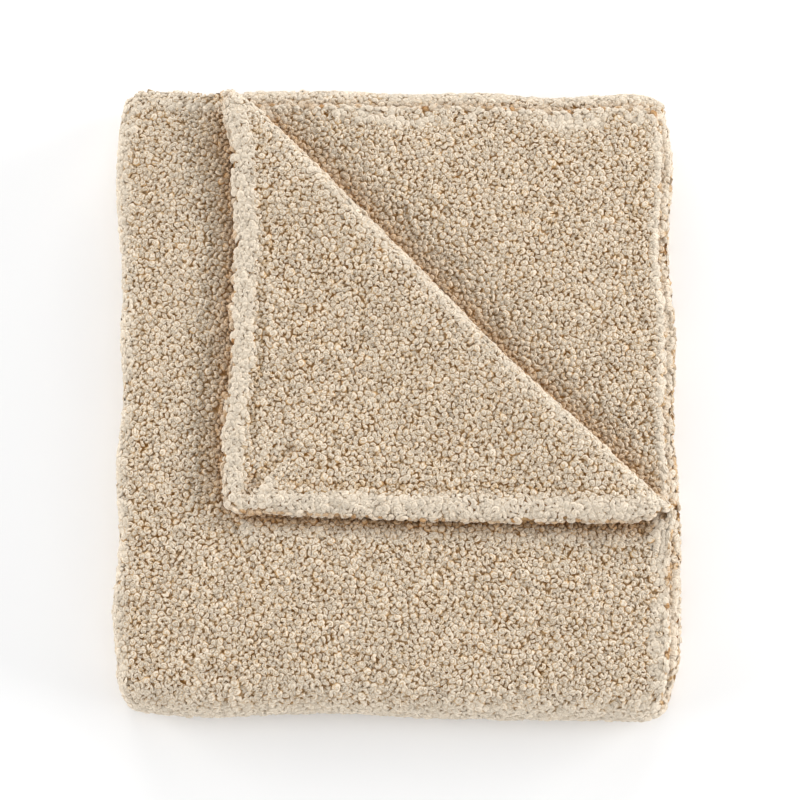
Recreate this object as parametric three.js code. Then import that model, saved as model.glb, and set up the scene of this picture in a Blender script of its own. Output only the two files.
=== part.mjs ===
// A teddy fleece throw, folded in three across its width and in three along its length, with the
// free corner of its top leaf turned back over a diagonal. It is one closed solid.
// Millimetres, +Z up. X runs across the folded throw and Y from its near edge to its far edge.
// The origin is under the middle of the folded throw, on the surface that it lies on.

import * as THREE from 'three';

const { clamp, lerp, smoothstep } = THREE.MathUtils;

// Driving dimensions
const SHEET_WIDTH = 1300;
const SHEET_LENGTH = 1500;
const PANELS = 3; // each way
const CLOTH = 4.4; // thickness of the fleece, with the pile of both faces
const PITCH = 5.5; // from one layer to the next
const HEM = 22; // from the free edge to the hem's row of stitches
const HALF_WIDTH = SHEET_WIDTH / PANELS / 2;
const HALF_LENGTH = SHEET_LENGTH / PANELS / 2;

// The turned-back corner
const DIAGONAL = 118; // x + y along the outer edge of the diagonal fold
const DIAGONAL_RADIUS = 6; // of the middle of the cloth where it turns back
const DIAGONAL_BEND = Math.PI * DIAGONAL_RADIUS; // cloth that the bend takes
const DIAGONAL_START = DIAGONAL - Math.SQRT2 * (DIAGONAL_RADIUS + CLOTH / 2);
const FLAP_SETTLES_OVER = 75; // from the bend to where the flap lies on the leaf
const TIP_CUT = 10; // how much the corner's rounding takes off its point
const TIP_BULGE = 3.5; // how far the middle of that rounding stands out, along each side
const LEAF_OVERHANG = 1; // of the leaf's right edge, past the folds under it
const INNER_EDGE_GAP = 3; // from the start of the left wrap to the sheet's inner free edge

// Where each layer of the folded width ends. far is in the top bundle, near is in the middle one.
const LAYER_ENDS = {
  inner: { far: HALF_LENGTH - 19.5, near: 9 },
  middle: { far: HALF_LENGTH - 25, near: 5 },
  outer: { far: HALF_LENGTH - 4, near: 13 },
};

// Where the leaf's free edges run, beyond a straight line. from is the other coordinate.
const FAR_EDGE_WAVES = [
  { from: -217, reach: -5 },
  { from: -185, reach: -2 },
  { from: -128, reach: -2 },
  { from: -104, reach: 9 },
  { from: -72, reach: 1 },
  { from: 8, reach: -4 },
  { from: 90, reach: 0 },
  { from: 170, reach: 6 },
];
const RIGHT_EDGE_WAVES = [
  { from: -125, reach: -3 },
  { from: -98, reach: -7 },
  { from: -68, reach: 7 },
  { from: -20, reach: 7 },
  { from: 118, reach: 4 },
  { from: 245, reach: 0 },
];
const EDGE_WAVES_DIE_OVER = 90;

// How the diagonal fold bows. along is the distance along it from where x equals y.
const DIAGONAL_BOW = [
  { along: -250, bow: 0 },
  { along: -40, bow: -3 },
  { along: 20, bow: -6 },
  { along: 90, bow: -3 },
  { along: 190, bow: 6 },
  { along: 215, bow: 10 },
];
const BOW_DIES_OVER = 150;

// The hem in section: how much of its swell, and how deep a stitch groove, at each distance from the edge
const HEM_SECTION = [
  { from: 0, swell: 0, groove: 0 },
  { from: 2, swell: 0.8, groove: 0 },
  { from: 10, swell: 1, groove: 0 },
  { from: 18, swell: 0.7, groove: 0.1 },
  { from: HEM, swell: 0, groove: 0.6 },
  { from: 27, swell: 0, groove: 0 },
];
const HEM_SWELL = { lying: 0.25, turnedBack: 1.6 };
const RIM = 2; // the cloth reaches its full thickness this far in from a free edge
const RIM_SHARE = 0.45; // of that thickness, at the free edge itself

// How the folded bundle lies: its rims are lower than its middle, and its corners are rounded
const RIM_LOSS = 0.1; // share of the height that is lost at the rim
const RIM_FALLS_OVER = 75;
const SKEW = 0.012; // how much nearer the right side lies, for each mm across
const TOP_BUNDLE_RECESS = 9; // how far the top bundle stands back on the right
const RECESS_LEVELS = { from: 4.2 * PITCH, to: 6.9 * PITCH }; // heights between which it sets in
const LEAF_DROOP = 6; // of the leaf's far edge, past the end of the layer under it
const DROOP_FROM = 6.6 * PITCH; // only what lies higher than this droops
const CORNERS = [
  { sideX: -1, sideY: -1, cut: 8, spread: 24 },
  { sideX: 1, sideY: -1, cut: 13, spread: 36 },
  { sideX: -1, sideY: 1, cut: 9, spread: 26 },
  { sideX: 1, sideY: 1, cut: 9, spread: 26 },
];
// How far the outline reaches past a straight line at each side, by the place along the throw
const SIDES = [
  { along: -250, left: -2, right: 1.5 },
  { along: -200, left: 0.2, right: 3.4 },
  { along: -140, left: -0.5, right: 4.4 },
  { along: -75, left: -3.4, right: 2.6 },
  { along: -10, left: -2.2, right: 2.6 },
  { along: 60, left: -0.8, right: 2.4 },
  { along: 110, left: 1.4, right: 0.2 },
  { along: 155, left: 4, right: 3 },
  { along: 200, left: 4, right: 4.6 },
  { along: 250, left: 3, right: 4.6 },
];
// The same at the near and the far end, by the place across the throw
const ENDS = [
  { across: -217, near: 1.5, far: -1.5 },
  { across: -125, near: 1.6, far: 0 },
  { across: -70, near: -2, far: 2 },
  { across: 0, near: 0.6, far: 1.4 },
  { across: 60, near: 0.6, far: 1 },
  { across: 115, near: 0.2, far: 0 },
  { across: 160, near: 2.4, far: 1.6 },
  { across: 200, near: 7.8, far: 5.5 },
];
// Slow waves in the height: reach as a share, radians per 1000 mm, and shift in radians
const HEIGHT_WAVES = { reach: 0.012, rateX: 29, rateY: 23, shift: 0.8 };

// A value of a table at a place, eased from row to row
function read(table, key, column, place) {
  const next = table.findIndex((row) => row[key] > place);
  if (next === 0) return table[0][column];
  if (next < 0) return table.at(-1)[column];
  const [a, b] = [table[next - 1], table[next]];
  return lerp(a[column], b[column], smoothstep(place, a[key], b[key]));
}

// Evenly spaced values from a to b, both included
function steps(a, b, count) {
  return Array.from({ length: count + 1 }, (_, i) => lerp(a, b, i / count));
}

// A fold of three panels as a path in the plane (at, level). The inner panel comes first, then a tight
// fold, the middle panel, a wide wrap around both, and the outer panel. angle is the direction of the
// outer face, which is on the left of the path all the way.
function threePanelFold({ fold, wrap, inner, middle, outer }) {
  const turn = (bend, from, panel, next) =>
    steps(from, from - Math.PI, bend.segments).map((angle, i) => ({
      at: bend.at + bend.radius * Math.cos(angle),
      level: bend.level + bend.radius * Math.sin(angle),
      angle,
      panel,
      next,
      share: i / bend.segments,
    }));
  const flat = (lines, level, angle, panel) =>
    lines.map((at) => ({ at, level, angle, panel, next: panel, share: 0 }));
  const up = Math.PI / 2;
  return [
    ...flat(inner.slice(0, -1), fold.level + fold.radius, up, 'inner'),
    ...turn(fold, up, 'inner', 'middle'),
    ...flat(middle.slice(1, -1), fold.level - fold.radius, -up, 'middle'),
    ...turn(wrap, -up, 'middle', 'outer'),
    ...flat(outer.slice(1), wrap.level + wrap.radius, up, 'outer'),
  ];
}

// The leaf, which is the outer layer of the top bundle, and the square of it that holds the diagonal
const LEAF_RIGHT = HALF_WIDTH + LEAF_OVERHANG;
const LEAF_FAR = LAYER_ENDS.outer.far;
const LEAF_LEVEL = 8.5 * PITCH;
const SQUARE_LEFT = DIAGONAL_START - LEAF_FAR;
const SQUARE_NEAR = DIAGONAL_START - LEAF_RIGHT;
const SQUARE_SIDE = LEAF_RIGHT - SQUARE_LEFT;
const HEM_LINES = HEM_SECTION.map((row) => row.from).reverse(); // distances from a free edge
const RIM_LINES = [80, 52, HEM_LINES[0]]; // distances from the outline, for all layers
const PANEL_CELLS = 3; // between those lines, over the panel's middle
const PANEL_LINES = [
  ...steps(0, SQUARE_SIDE - RIM_LINES[0], PANEL_CELLS),
  ...RIM_LINES.slice(1).map((d) => SQUARE_SIDE - d),
];
const SQUARE_LINES = [...PANEL_LINES, ...HEM_LINES.slice(1).map((d) => SQUARE_SIDE - d)];
const SQUARE_COUNT = SQUARE_LINES.length - 1;
const BEND_CELLS = 6; // round the diagonal fold
const SETTLING_SHARES = [0.16, 0.37, 0.67]; // rows of the flap before it lies on the leaf
const FLAP_CELLS = 4; // from there to the rounding of its tip

// The width fold, seen along the length. level counts outwards through the three layers.
const RIGHT_FOLD = { at: HALF_WIDTH - PITCH / 2 - CLOTH / 2, level: PITCH, radius: PITCH / 2, segments: 4 };
const LEFT_WRAP = { at: -HALF_WIDTH + PITCH + CLOTH / 2, level: 1.5 * PITCH, radius: PITCH, segments: 6 };
const INNER_EDGE = LEFT_WRAP.at + INNER_EDGE_GAP;
const leftLines = RIM_LINES.slice(1).map((d) => d - HALF_WIDTH).reverse();
const acrossLines = [...leftLines, ...PANEL_LINES.map((d) => SQUARE_LEFT + d)];
const acrossFold = threePanelFold({
  fold: RIGHT_FOLD,
  wrap: LEFT_WRAP,
  inner: [INNER_EDGE, INNER_EDGE + RIM, ...acrossLines, RIGHT_FOLD.at],
  middle: [RIGHT_FOLD.at, ...acrossLines.toReversed(), LEFT_WRAP.at],
  outer: [LEFT_WRAP.at, ...leftLines, ...SQUARE_LINES.map((d) => SQUARE_LEFT + d)],
});

// The length fold, seen along the width. Its path is the inner face of the folded width, and each
// panel is a bundle of three layers.
const BUNDLE = 3 * PITCH;
const OUTER_FACE = 2.5 * PITCH + CLOTH / 2;
const FAR_FOLD = { at: HALF_LENGTH - OUTER_FACE, level: BUNDLE, radius: 0, segments: 6 };
const NEAR_WRAP = {
  at: -HALF_LENGTH + BUNDLE / 2 + OUTER_FACE,
  level: 1.5 * BUNDLE,
  radius: BUNDLE / 2,
  segments: 8,
};
const nearLines = RIM_LINES.slice(0, -1).map((d) => d - HALF_LENGTH).reverse();
const alongLines = [...nearLines, ...PANEL_LINES.map((d) => SQUARE_NEAR + d)];
const alongFold = threePanelFold({
  fold: FAR_FOLD,
  wrap: NEAR_WRAP,
  inner: [NEAR_WRAP.at, NEAR_WRAP.at + RIM, ...alongLines, FAR_FOLD.at],
  middle: [FAR_FOLD.at, ...alongLines.toReversed(), NEAR_WRAP.at],
  outer: [NEAR_WRAP.at, ...nearLines, ...SQUARE_LINES.map((d) => SQUARE_NEAR + d)],
});

// A column's own value of an end, blended where it is in a bend between two panels
function layerEnd(column, end) {
  return lerp(LAYER_ENDS[column.panel][end], LAYER_ENDS[column.next][end], smoothstep(column.share, 0, 1));
}

// Where a row crosses a column: its place along the length, and its distance from the free end
function placeAlong(column, row) {
  if (row.panel === 'inner' && row.next === 'inner') {
    const near = NEAR_WRAP.at + layerEnd(column, 'near');
    const share = (row.at - NEAR_WRAP.at) / (FAR_FOLD.at - NEAR_WRAP.at);
    const at = lerp(near, FAR_FOLD.at, share);
    return { at, fromEnd: at - near };
  }
  if (row.panel === 'outer' && row.at > SQUARE_NEAR) {
    const share = (row.at - SQUARE_NEAR) / SQUARE_SIDE;
    return { at: lerp(SQUARE_NEAR, layerEnd(column, 'far'), share), fromEnd: (1 - share) * SQUARE_SIDE };
  }
  return { at: row.at, fromEnd: Infinity };
}

// Half-thicknesses of the cloth towards its outer and inner face, at a distance from the free edge
function halfThickness(fromEdge, swell) {
  const rim = lerp(RIM_SHARE, 1, smoothstep(fromEdge, 0, RIM));
  const groove = read(HEM_SECTION, 'from', 'groove', fromEdge);
  const raised = swell * read(HEM_SECTION, 'from', 'swell', fromEdge);
  return { out: (CLOTH / 2) * rim - groove, in: (CLOTH / 2) * rim - groove + raised };
}

// How far the leaf's free edges reach past straight lines, at a flat place on the leaf
function leafShift(x, y) {
  const farShare = 1 - smoothstep(LEAF_FAR - y, 0, EDGE_WAVES_DIE_OVER);
  const rightShare = 1 - smoothstep(LEAF_RIGHT - x, 0, EDGE_WAVES_DIE_OVER);
  return {
    x: x + rightShare * read(RIGHT_EDGE_WAVES, 'from', 'reach', y),
    y: y + farShare * read(FAR_EDGE_WAVES, 'from', 'reach', x),
  };
}

// The two faces of the cloth where a column and a row of the double fold cross
function foldedFaces(column, row) {
  const { at, fromEnd } = placeAlong(column, row);
  const fromInnerEdge = column.panel === 'inner' ? column.at - INNER_EDGE : Infinity;
  const fromLeafEdge = column.panel === 'outer' ? LEAF_RIGHT - column.at : Infinity;
  const half = halfThickness(Math.min(fromEnd, fromInnerEdge, fromLeafEdge), HEM_SWELL.lying);
  const face = (offset) => {
    const depth = column.level + offset * Math.sin(column.angle);
    const point = new THREE.Vector3(
      column.at + offset * Math.cos(column.angle),
      at + depth * Math.cos(row.angle),
      row.level + depth * Math.sin(row.angle),
    );
    if (column.panel === 'outer' && row.panel === 'outer') {
      const shifted = leafShift(point.x, point.y);
      point.set(shifted.x, shifted.y, point.z);
    }
    return point;
  };
  return { outer: face(half.out), inner: face(-half.in) };
}

// The two faces of the leaf at a flat place on it, once its corner is turned back. Past the start of
// the diagonal fold the cloth goes round the bend, and then runs back over the leaf.
function leafFaces(flatX, flatY) {
  const flat = leafShift(flatX, flatY);
  const past = (flat.x + flat.y - DIAGONAL_START) / Math.SQRT2;
  const along = (flat.x - flat.y) / Math.SQRT2;
  const turn = clamp(past / DIAGONAL_RADIUS, 0, Math.PI);
  const back = Math.max(past - DIAGONAL_BEND, 0);
  const settled = smoothstep(back, 0, FLAP_SETTLES_OVER);
  const drop = 2 * DIAGONAL_RADIUS - PITCH;
  const share = clamp(back / FLAP_SETTLES_OVER, 0, 1);
  const slope = (-drop * 6 * share * (1 - share)) / FLAP_SETTLES_OVER;

  const across = Math.min(past, 0) + DIAGONAL_RADIUS * Math.sin(turn) - back;
  const rise = DIAGONAL_RADIUS * (1 - Math.cos(turn)) - drop * settled;
  const normal = { across: -Math.sin(turn), up: Math.cos(turn) };
  if (back > 0) {
    const length = Math.hypot(1, slope);
    normal.across = -slope / length;
    normal.up = -1 / length;
  }

  const fromEdge = Math.min(LEAF_RIGHT - flatX, LEAF_FAR - flatY);
  const swell = lerp(HEM_SWELL.lying, HEM_SWELL.turnedBack, turn / Math.PI);
  const half = halfThickness(Math.max(fromEdge, 0), swell);
  const face = (offset) => {
    const outwards = across + offset * normal.across + bow(along, across);
    return new THREE.Vector3(
      (DIAGONAL_START / Math.SQRT2 + outwards + along) / Math.SQRT2,
      (DIAGONAL_START / Math.SQRT2 + outwards - along) / Math.SQRT2,
      LEAF_LEVEL + rise + offset * normal.up,
    );
  };
  return { outer: face(half.out), inner: face(-half.in) };
}

// The bow of the diagonal, which dies away over the leaf and the flap
function bow(along, across) {
  const share = 1 - smoothstep(Math.abs(across), 0, BOW_DIES_OVER);
  return share * read(DIAGONAL_BOW, 'along', 'bow', along);
}

// Moves a point of the neatly folded throw to where the soft stack really lies. Each step keeps the
// order of the layers, so that none of them meet.
function settle(point) {
  const { x, y, z } = point;
  const fromSide = smoothstep(HALF_WIDTH - Math.abs(x), 0, RIM_FALLS_OVER);
  const fromEnd = smoothstep(HALF_LENGTH - Math.abs(y), 0, RIM_FALLS_OVER);
  const lift =
    HEIGHT_WAVES.reach *
    Math.sin((HEIGHT_WAVES.rateX * x) / 1000 + HEIGHT_WAVES.shift) *
    Math.cos((HEIGHT_WAVES.rateY * y) / 1000);
  const height = 1 + lift - RIM_LOSS * (1 - fromSide * fromEnd);

  const pastLayer = smoothstep(y, LAYER_ENDS.inner.far + 2, LEAF_FAR + 8);
  const droop = z > DROOP_FROM ? LEAF_DROOP * pastLayer : 0;
  const topBundle = smoothstep(z, RECESS_LEVELS.from, RECESS_LEVELS.to);
  const recess = TOP_BUNDLE_RECESS * topBundle * Math.max(x / HALF_WIDTH, 0) ** 3;

  const side = read(SIDES, 'along', x < 0 ? 'left' : 'right', y);
  const end = read(ENDS, 'across', y < 0 ? 'near' : 'far', x);
  const moved = new THREE.Vector3(
    x - recess + (side * x) / HALF_WIDTH,
    y + (end * y) / HALF_LENGTH - SKEW * x,
    (z - (PITCH - CLOTH) / 2) * height - droop,
  );
  for (const corner of CORNERS) {
    const away = HALF_WIDTH - corner.sideX * x + (HALF_LENGTH - corner.sideY * y);
    const pull = corner.cut * Math.exp(-Math.max(away, 0) / corner.spread);
    moved.x -= corner.sideX * pull;
    moved.y -= corner.sideY * pull;
  }
  return moved;
}

// Collects the crossings of the cloth's grid, each with its two faces, and the cells between them
class Cloth {
  outer = [];
  inner = [];
  triangles = [];

  add(faces) {
    this.outer.push(settle(faces.outer));
    this.inner.push(settle(faces.inner));
    return this.outer.length - 1;
  }

  cell(a, b, c, d) {
    if (a !== b) this.triangles.push([a, b, c]);
    if (c !== d && d !== a) this.triangles.push([a, c, d]);
  }

  // Both faces, joined by a rim along every edge that only one triangle has
  toGeometry() {
    const count = this.outer.length;
    const edges = new Set(this.triangles.flatMap(([a, b, c]) => [`${a},${b}`, `${b},${c}`, `${c},${a}`]));
    const index = [];
    for (const [a, b, c] of this.triangles) {
      index.push(a, b, c, a + count, c + count, b + count);
    }
    for (const edge of edges) {
      const [a, b] = edge.split(',').map(Number);
      if (edges.has(`${b},${a}`)) continue;
      index.push(b, a, a + count, b, a + count, b + count);
    }
    const geometry = new THREE.BufferGeometry().setFromPoints([...this.outer, ...this.inner]);
    geometry.setIndex(index);
    geometry.computeVertexNormals();
    return geometry;
  }
}

// The double fold as a grid, all but the square of the leaf that holds the diagonal
function addFoldedSheet(cloth) {
  const squareColumn = acrossFold.length - 1 - SQUARE_COUNT;
  const squareRow = alongFold.length - 1 - SQUARE_COUNT;
  const inSquare = (i, j) => i > squareColumn && j > squareRow;
  const grid = acrossFold.map((column, i) =>
    alongFold.map((row, j) => (inSquare(i, j) ? null : cloth.add(foldedFaces(column, row)))),
  );
  for (let i = 0; i < acrossFold.length - 1; i += 1) {
    for (let j = 0; j < alongFold.length - 1; j += 1) {
      if (i >= squareColumn && j >= squareRow) continue;
      cloth.cell(grid[i][j], grid[i + 1][j], grid[i + 1][j + 1], grid[i][j + 1]);
    }
  }
  return {
    leftSide: grid[squareColumn].slice(squareRow),
    nearSide: grid.slice(squareColumn).map((column) => column[squareRow]),
  };
}

// Shares of the way along a row of the leaf, with lines on the hems at both ends
function rowShares(length) {
  const middleCells = 8;
  const hemsAtMost = 1 / 1.2; // of the row, on a short row near the corner's tip
  const hem = HEM_LINES[0] * Math.SQRT2;
  const squeeze = Math.min(1, (hemsAtMost * length) / (2 * hem));
  const ends = HEM_LINES.map((d) => (squeeze * d * Math.SQRT2) / length).reverse();
  const last = ends.at(-1);
  const middle = steps(last, 1 - last, middleCells).slice(1, -1);
  return [...ends, ...middle, ...ends.map((share) => 1 - share).reverse()];
}

// The square of the leaf with the diagonal across it, in rows that run along the diagonal. The rows
// before the diagonal start on the square's left side and end on its near side, and the rows past it
// run from one free edge of the leaf to the other.
function addLeafCorner(cloth, { leftSide, nearSide }) {
  const cells = rowShares(SQUARE_SIDE).length - 1;
  const rows = [Array(cells + 1).fill(leftSide[0])];
  const place = (start, side, share, out = 0) => {
    const x = SQUARE_LEFT + start + side * share + out;
    const y = SQUARE_NEAR + start + side * (1 - share) + out;
    return cloth.add(leafFaces(x, y));
  };
  for (let r = 1; r <= SQUARE_COUNT; r += 1) {
    const side = SQUARE_LINES[r];
    const inside = rowShares(side * Math.SQRT2).slice(1, -1);
    rows.push([leftSide[r], ...inside.map((share) => place(0, side, share)), nearSide[r]]);
  }
  const tip = SQUARE_SIDE / Math.SQRT2 - TIP_CUT;
  const lies = DIAGONAL_BEND + FLAP_SETTLES_OVER;
  const pastRows = [
    ...steps(0, DIAGONAL_BEND, BEND_CELLS),
    ...SETTLING_SHARES.map((share) => lerp(DIAGONAL_BEND, lies, share)),
    ...steps(lies, tip - TIP_CUT, FLAP_CELLS),
    tip,
  ].slice(1);
  for (const past of pastRows) {
    const start = past * Math.SQRT2;
    const side = SQUARE_SIDE - start;
    const bulge = past === tip ? TIP_BULGE : 0;
    const shares = rowShares(side * Math.SQRT2);
    rows.push(shares.map((share) => place(start, side, share, bulge * 4 * share * (1 - share))));
  }
  for (let r = 0; r < rows.length - 1; r += 1) {
    for (let k = 0; k < cells; k += 1) {
      cloth.cell(rows[r][k], rows[r][k + 1], rows[r + 1][k + 1], rows[r + 1][k]);
    }
  }
}

function makeThrow() {
  const cloth = new Cloth();
  addLeafCorner(cloth, addFoldedSheet(cloth));
  const teddyFleece = new THREE.MeshStandardMaterial({ color: 0xccb898, roughness: 0.95, metalness: 0 });
  const mesh = new THREE.Mesh(cloth.toGeometry(), teddyFleece);
  mesh.name = 'throw';
  return mesh;
}

const group = new THREE.Group();
group.add(makeThrow());

export default group;
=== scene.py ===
"""A teddy fleece throw, folded in three both ways, with the free corner of its top leaf turned back.

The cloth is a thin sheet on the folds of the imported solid, as much thinner as its pile is deep. The
pile is some 24,000 small curls and knots of yarn on all of the cloth that shows, joined into a few
meshes. Metres, +Z up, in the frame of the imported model.
"""

import math

import bmesh
import bpy
import numpy as np
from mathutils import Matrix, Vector
from mathutils.bvhtree import BVHTree
from mathutils.kdtree import KDTree


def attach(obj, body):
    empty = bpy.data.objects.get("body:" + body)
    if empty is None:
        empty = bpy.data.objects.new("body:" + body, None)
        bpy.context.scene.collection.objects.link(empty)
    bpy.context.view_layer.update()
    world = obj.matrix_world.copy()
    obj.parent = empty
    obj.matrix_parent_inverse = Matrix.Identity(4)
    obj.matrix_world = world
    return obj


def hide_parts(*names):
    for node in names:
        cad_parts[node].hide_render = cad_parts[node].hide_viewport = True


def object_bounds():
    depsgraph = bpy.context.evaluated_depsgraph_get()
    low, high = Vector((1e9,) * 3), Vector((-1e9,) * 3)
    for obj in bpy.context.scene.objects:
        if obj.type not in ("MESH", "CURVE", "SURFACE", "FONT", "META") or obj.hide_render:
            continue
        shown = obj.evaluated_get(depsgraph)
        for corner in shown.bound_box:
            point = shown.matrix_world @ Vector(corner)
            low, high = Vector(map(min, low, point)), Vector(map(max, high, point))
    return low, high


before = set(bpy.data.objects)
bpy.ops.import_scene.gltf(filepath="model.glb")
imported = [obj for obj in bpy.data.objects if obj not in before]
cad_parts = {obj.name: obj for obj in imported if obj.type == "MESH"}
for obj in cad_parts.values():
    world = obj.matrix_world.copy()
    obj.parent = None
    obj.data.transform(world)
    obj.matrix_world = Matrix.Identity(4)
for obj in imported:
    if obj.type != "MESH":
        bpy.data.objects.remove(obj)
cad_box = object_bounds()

MM = 0.001
SEED = 7

# The camera of the photograph

PHOTO_SIZE = 800  # pixels each way
ELEVATION = math.radians(78)
DISTANCE = 2.0
FOCAL_PX = 2577
SENSOR = 36  # millimetres, as the camera takes it
AIM = Vector((0.001, -0.0075, 0.025))
AIM_PX = (397, 405)

# Lines of the throw in pixels of the photograph

FLAP_LEFT_EDGE = (
    (214, 96), (224, 125), (236, 165), (238, 250), (230, 350), (222, 450), (222, 492), (232, 512),
)
FLAP_NEAR_EDGE = ((232, 512), (300, 515), (400, 517), (520, 519), (640, 523))
DIAGONAL_FOLD = ((240, 92), (253, 102), (366, 212), (480, 326), (570, 412), (654, 484), (672, 498))
MITRE = ((247, 492), (262, 474), (275, 461), (292, 447))
LEFT_SEAM = ((258, 150), (263, 250), (258, 350), (251, 450), (250, 482))
NEAR_SEAM = ((268, 486), (340, 488), (440, 490), (560, 493), (628, 496))
FLAP_CREASE = ((360, 246), (361, 310), (359, 372))
NEAR_PART_CREASE = ((545, 540), (546, 620), (544, 700))
SECOND_LAYER_CREASE = ((584, 211), (620, 213), (650, 212))

# How the stack sinks beside the turned-back corner, which is the flap. Each line is on the level given.
# The cloth sinks most at the line, and less and less out to the widths on its left and right, as seen
# along it. What is higher than the levels called free stays.

TROUGHS = {
    "left edge of the flap": {
        "line": FLAP_LEFT_EDGE,
        "level": 48 * MM,
        "free": (47.5 * MM, 50.5 * MM),
        "depth": 5.0 * MM,
        "left": 14 * MM,
        "right": 50 * MM,
    },
    "diagonal fold": {
        "line": DIAGONAL_FOLD,
        "level": 43 * MM,
        "free": (43 * MM, 46 * MM),
        "depth": 0.8 * MM,
        "left": 16 * MM,
        "right": 14 * MM,
    },
    "near edge of the flap": {
        "line": FLAP_NEAR_EDGE,
        "level": 48 * MM,
        "free": (47.5 * MM, 50.5 * MM),
        "depth": 4.0 * MM,
        "left": 12 * MM,
        "right": 16 * MM,
    },
}
SINKS_ABOVE = 25 * MM  # under this level the stack stays as it is
TROUGH_CELL = 10 * MM  # also where the cloth is hidden, so that all layers sink alike

# Soft creases in the upper faces, on the levels given

CREASES = {
    "mitre": {"line": MITRE, "level": 54 * MM, "depth": 3.0 * MM},
    "left hem": {"line": LEFT_SEAM, "level": 54 * MM, "depth": 1.2 * MM},
    "near hem": {"line": NEAR_SEAM, "level": 54 * MM, "depth": 0.7 * MM},
    "flap": {"line": FLAP_CREASE, "level": 55 * MM, "depth": 0.6 * MM},
    "near part": {"line": NEAR_PART_CREASE, "level": 48 * MM, "depth": 0.6 * MM},
    "second layer": {"line": SECOND_LAYER_CREASE, "level": 43 * MM, "depth": 0.6 * MM},
}
CREASE_WIDTH = 5.5 * MM
CREASE_CELL = 3.5 * MM
CREASE_REACH = 12 * MM
CREASE_LEVELS = (5 * MM, 8 * MM)  # off its level, a crease is whole up to the first, and gone at the second
UPPER_FACE_ABOVE = 36 * MM
LEVEL_FADE = 2 * MM  # over which a limit in height takes hold

# Where the folded edges give way a little: a pixel of the photograph on one level, how far round it the
# cloth moves, and by how much in plan, both in millimetres

MIDDLE_LEVEL = 25 * MM
DENTS = {
    "far right corner": ((676, 104), 42, (-2, -2)),
    "near right corner": ((682, 712), 46, (-2.5, 2.5)),
    "far left corner": ((122, 88), 30, (1.5, 0)),
    "far edge at the flap": ((214, 88), 40, (0, -3.5)),
    "far edge at its middle": ((400, 90), 50, (0, -2)),
    "far edge on its right": ((550, 92), 50, (0, -3)),
    "left side, high": ((112, 285), 75, (4, 0)),
    "left side, middle": ((112, 395), 60, (4.5, 0)),
    "left side, low": ((108, 550), 60, (4.5, 0)),
    "left side, lowest": ((106, 655), 45, (3.5, 0)),
    "right side, high": ((676, 245), 70, (-4.5, 0)),
    "right side, middle": ((680, 430), 80, (-3, 0)),
    "right side, low": ((684, 605), 60, (-1.5, 0)),
    "near left corner": ((118, 704), 24, (3, 1)),
    "near edge": ((330, 722), 90, (0, 2.5)),
}

# The same for the flap alone

FLAP_LEVEL = 54 * MM
FLAP_FROM = (50 * MM, 51 * MM)  # none of the cloth moves under the first level, all of it above the second
FLAP_DENTS = {
    "left edge, highest": ((230, 145), 26, (2, 0)),
    "left edge, middle": ((236, 300), 50, (-3, 0)),
    "left edge, low": ((226, 430), 55, (-3.5, 0)),
}

# The flap's hem stands up a little between its free edge and its seam

HEM_EDGES = (TROUGHS["left edge of the flap"], TROUGHS["near edge of the flap"])
HEM_WIDTH = 24 * MM
HEM_PUFF = 1.6 * MM
HEM_ABOVE = 51 * MM


def on_level(pixel, level):
    """The place at this level that a pixel of the photograph shows."""
    a = (pixel[0] - AIM_PX[0]) / FOCAL_PX
    b = (AIM_PX[1] - pixel[1]) / FOCAL_PX
    sine, cosine = math.sin(ELEVATION), math.cos(ELEVATION)
    up = level - AIM.z
    y = (b * (DISTANCE - up * sine) - up * cosine) / (sine - b * cosine)
    depth = DISTANCE + y * cosine - up * sine
    return AIM.x + a * depth, AIM.y + y


def plan_line(spec):
    """The line of a trough, crease or edge, in plan."""
    return [on_level(pixel, spec["level"]) for pixel in spec["line"]]


def distances(places, line):
    """How far each place is from a line of points in the plane, and on which side: left is positive."""
    nearest = np.full(len(places), np.inf)
    side = np.zeros(len(places))
    for start, end in zip(line[:-1], line[1:]):
        start, step = np.array(start), np.array(end) - np.array(start)
        share = np.clip(((places - start) @ step) / (step @ step), 0, 1)
        away = places - start - share[:, None] * step
        distance = np.hypot(away[:, 0], away[:, 1])
        closer = distance < nearest
        nearest[closer] = distance[closer]
        side[closer] = np.sign(step[0] * away[closer, 1] - step[1] * away[closer, 0])
    return nearest, side


def from_flap_edge(plan):
    """How far each place is from the flap's free edges, in plan."""
    return np.min([distances(plan, plan_line(edge))[0] for edge in HEM_EDGES], axis=0)


def eased(value, low, high):
    """From 0 at low to 1 at high, smoothly."""
    share = np.clip((value - low) / (high - low), 0, 1)
    return share * share * (3 - 2 * share)


def sink(points):
    """The heights of the cloth's points once it has sunk beside the flap and in its creases."""
    z = points[:, 2].copy()
    plan = points[:, :2]
    deepest = np.zeros(len(points))
    for trough in TROUGHS.values():
        distance, side = distances(plan, plan_line(trough))
        width = np.where(side > 0, trough["left"], trough["right"])
        held = 1 - eased(points[:, 2], *trough["free"])
        pressed = eased(points[:, 2], SINKS_ABOVE, trough["level"])
        deepest = np.maximum(deepest, (1 - eased(distance, 0, width)) * held * pressed * trough["depth"])
    z -= deepest
    for crease in CREASES.values():
        distance, _ = distances(plan, plan_line(crease))
        upper = eased(points[:, 2], UPPER_FACE_ABOVE, UPPER_FACE_ABOVE + LEVEL_FADE)
        near_level = 1 - eased(np.abs(points[:, 2] - crease["level"]), *CREASE_LEVELS)
        z -= crease["depth"] * upper * near_level * np.exp(-((distance / CREASE_WIDTH) ** 2))
    across_hem = np.sin(math.pi * np.clip(from_flap_edge(plan) / HEM_WIDTH, 0, 1))
    z += HEM_PUFF * eased(points[:, 2], HEM_ABOVE, HEM_ABOVE + LEVEL_FADE) * across_hem
    return z


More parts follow.
